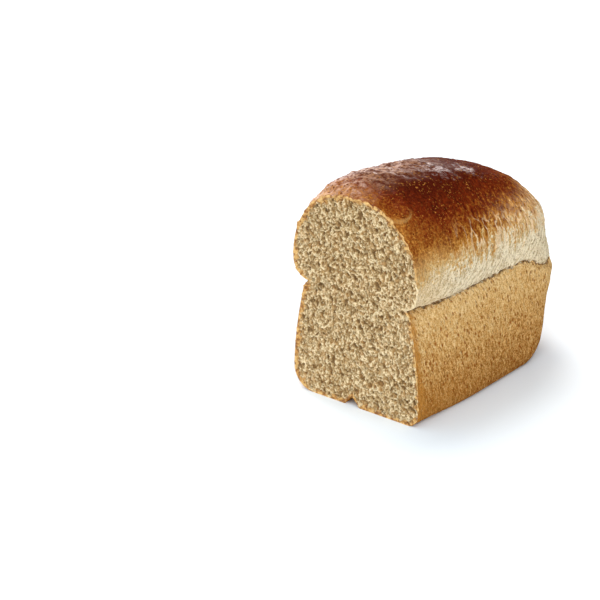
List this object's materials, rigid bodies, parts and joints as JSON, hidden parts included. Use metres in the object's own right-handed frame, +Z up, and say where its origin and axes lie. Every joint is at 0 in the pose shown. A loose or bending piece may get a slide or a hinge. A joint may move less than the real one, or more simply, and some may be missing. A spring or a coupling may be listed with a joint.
{
  "type": "tin loaf",
  "caption": "Cut tin loaf with a domed top crust, a pale torn shred band along the tin's rim, straight tin sides and a flat cut face of open crumb.",
  "frame": {"origin": "centre of the bounding box on the surface that the loaf rests on", "axes": "+Z up; +Y along the loaf from the cut face towards the rounded end; +X to the right seen from the cut face"},
  "size_m": [0.112, 0.1777, 0.1549],
  "materials": {
    "crust": "baked crust, chestnut and slightly glossy on the dome, matt golden tan on the tin sides"
  },
  "bodies": {
    "root": {"loaf": "crust"}
  },
  "joints": []
}
